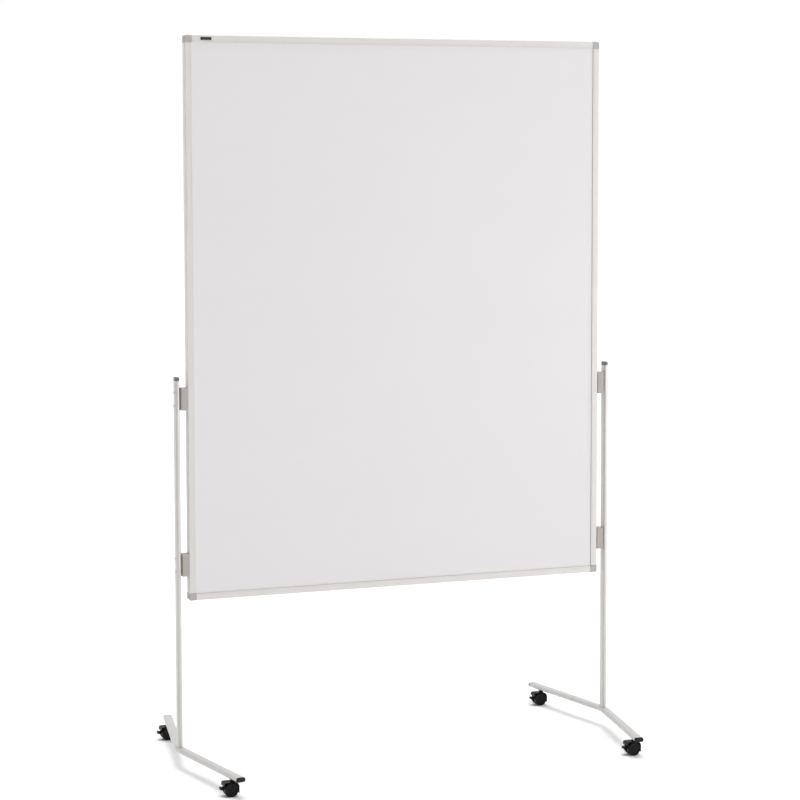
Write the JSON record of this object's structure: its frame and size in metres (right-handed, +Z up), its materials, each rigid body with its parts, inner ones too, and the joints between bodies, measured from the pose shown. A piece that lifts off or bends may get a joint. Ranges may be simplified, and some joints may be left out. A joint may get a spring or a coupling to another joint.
{
  "type": "rolling whiteboard",
  "caption": "Rolling upright whiteboard: a framed writing board clamped between two side posts on V-shaped feet with braked swivel castors.",
  "frame": {"origin": "on the floor under the middle of the board, between the two posts", "axes": "+Z up along the board's height, X along the board's width, writing side facing -Y, +Y through the board to its back"},
  "size_m": [1.2798, 0.7218, 1.954],
  "materials": {
    "writing_surface": "satin lacquer",
    "core_board": "raw honeycomb board",
    "frame_aluminium": "satin anodised",
    "corner_plastic": "fine texture",
    "badge_black": "gloss",
    "stand_paint": "powder coat",
    "clamp_grey": "satin",
    "cap_plastic": "satin",
    "plug_black": "satin",
    "zinc_steel": "zinc plated",
    "stem_black": "black zinc",
    "castor_black": "satin",
    "wheel_black": "satin"
  },
  "bodies": {
    "board_and_stand": {"board_core": "core_board", "front_sheet": "writing_surface", "back_sheet": "writing_surface", "frame_top": "frame_aluminium", "frame_bottom": "frame_aluminium", "frame_left": "frame_aluminium", "frame_right": "frame_aluminium", "corner_bottom_left": "corner_plastic", "corner_bottom_right": "corner_plastic", "corner_top_left": "corner_plastic", "corner_top_right": "corner_plastic", "badge_plate": "badge_black", "left_post": "stand_paint", "left_post_cap": "cap_plastic", "left_post_spigot": "cap_plastic", "left_lower_clamp": "clamp_grey", "left_upper_clamp": "clamp_grey", "left_clamp_screws": "zinc_steel", "left_foot_tube": "stand_paint", "right_post": "stand_paint", "right_post_cap": "cap_plastic", "right_post_spigot": "cap_plastic", "right_lower_clamp": "clamp_grey", "right_upper_clamp": "clamp_grey", "right_clamp_screws": "zinc_steel", "right_foot_tube": "stand_paint", "foot_bolts": "zinc_steel", "foot_washers": "zinc_steel", "castor_inserts": "zinc_steel", "front_left_foot_plug": "plug_black", "front_left_castor_stem": "stem_black", "back_left_foot_plug": "plug_black", "back_left_castor_stem": "stem_black", "front_right_foot_plug": "plug_black", "front_right_castor_stem": "stem_black", "back_right_foot_plug": "plug_black", "back_right_castor_stem": "stem_black"},
    "front_left_castor": {"front_left_castor_hood": "castor_black", "front_left_castor_axle": "zinc_steel"},
    "front_left_outer_wheel": {"front_left_outer_wheel": "wheel_black"},
    "front_left_inner_wheel": {"front_left_inner_wheel": "wheel_black"},
    "front_left_brake_lever": {"front_left_brake_lever": "castor_black"},
    "back_left_castor": {"back_left_castor_hood": "castor_black", "back_left_castor_axle": "zinc_steel"},
    "back_left_outer_wheel": {"back_left_outer_wheel": "wheel_black"},
    "back_left_inner_wheel": {"back_left_inner_wheel": "wheel_black"},
    "back_left_brake_lever": {"back_left_brake_lever": "castor_black"},
    "front_right_castor": {"front_right_castor_hood": "castor_black", "front_right_castor_axle": "zinc_steel"},
    "front_right_outer_wheel": {"front_right_outer_wheel": "wheel_black"},
    "front_right_inner_wheel": {"front_right_inner_wheel": "wheel_black"},
    "front_right_brake_lever": {"front_right_brake_lever": "castor_black"},
    "back_right_castor": {"back_right_castor_hood": "castor_black", "back_right_castor_axle": "zinc_steel"},
    "back_right_outer_wheel": {"back_right_outer_wheel": "wheel_black"},
    "back_right_inner_wheel": {"back_right_inner_wheel": "wheel_black"},
    "back_right_brake_lever": {"back_right_brake_lever": "castor_black"}
  },
  "joints": [
    {"name": "front_left_castor_swivel", "type": "hinge", "parent": "board_and_stand", "child": "front_left_castor", "pos_m": [-0.57274, -0.311, 0.033], "axis": [0, 0, 1], "continuous": true},
    {"name": "front_left_outer_wheel_spin", "type": "hinge", "parent": "front_left_castor", "child": "front_left_outer_wheel", "pos_m": [-0.57934, -0.32055, 0.018], "axis": [0, 1, 0], "continuous": true},
    {"name": "front_left_inner_wheel_spin", "type": "hinge", "parent": "front_left_castor", "child": "front_left_inner_wheel", "pos_m": [-0.57934, -0.30145, 0.018], "axis": [0, 1, 0], "continuous": true},
    {"name": "front_left_brake_lever_tilt", "type": "hinge", "parent": "front_left_castor", "child": "front_left_brake_lever", "pos_m": [-0.58984, -0.311, 0.0268], "axis": [0, -1, 0], "range_deg": [0, 12]},
    {"name": "back_left_castor_swivel", "type": "hinge", "parent": "board_and_stand", "child": "back_left_castor", "pos_m": [-0.57274, 0.311, 0.033], "axis": [0, 0, 1], "continuous": true},
    {"name": "back_left_outer_wheel_spin", "type": "hinge", "parent": "back_left_castor", "child": "back_left_outer_wheel", "pos_m": [-0.57934, 0.30145, 0.018], "axis": [0, 1, 0], "continuous": true},
    {"name": "back_left_inner_wheel_spin", "type": "hinge", "parent": "back_left_castor", "child": "back_left_inner_wheel", "pos_m": [-0.57934, 0.32055, 0.018], "axis": [0, 1, 0], "continuous": true},
    {"name": "back_left_brake_lever_tilt", "type": "hinge", "parent": "back_left_castor", "child": "back_left_brake_lever", "pos_m": [-0.58984, 0.311, 0.0268], "axis": [0, -1, 0], "range_deg": [0, 12]},
    {"name": "front_right_castor_swivel", "type": "hinge", "parent": "board_and_stand", "child": "front_right_castor", "pos_m": [0.57274, -0.311, 0.033], "axis": [0, 0, 1], "continuous": true},
    {"name": "front_right_outer_wheel_spin", "type": "hinge", "parent": "front_right_castor", "child": "front_right_outer_wheel", "pos_m": [0.56614, -0.32055, 0.018], "axis": [0, 1, 0], "continuous": true},
    {"name": "front_right_inner_wheel_spin", "type": "hinge", "parent": "front_right_castor", "child": "front_right_inner_wheel", "pos_m": [0.56614, -0.30145, 0.018], "axis": [0, 1, 0], "continuous": true},
    {"name": "front_right_brake_lever_tilt", "type": "hinge", "parent": "front_right_castor", "child": "front_right_brake_lever", "pos_m": [0.55564, -0.311, 0.0268], "axis": [0, -1, 0], "range_deg": [0, 12]},
    {"name": "back_right_castor_swivel", "type": "hinge", "parent": "board_and_stand", "child": "back_right_castor", "pos_m": [0.57274, 0.311, 0.033], "axis": [0, 0, 1], "continuous": true},
    {"name": "back_right_outer_wheel_spin", "type": "hinge", "parent": "back_right_castor", "child": "back_right_outer_wheel", "pos_m": [0.56614, 0.30145, 0.018], "axis": [0, 1, 0], "continuous": true},
    {"name": "back_right_inner_wheel_spin", "type": "hinge", "parent": "back_right_castor", "child": "back_right_inner_wheel", "pos_m": [0.56614, 0.32055, 0.018], "axis": [0, 1, 0], "continuous": true},
    {"name": "back_right_brake_lever_tilt", "type": "hinge", "parent": "back_right_castor", "child": "back_right_brake_lever", "pos_m": [0.55564, 0.311, 0.0268], "axis": [0, -1, 0], "range_deg": [0, 12]}
  ]
}
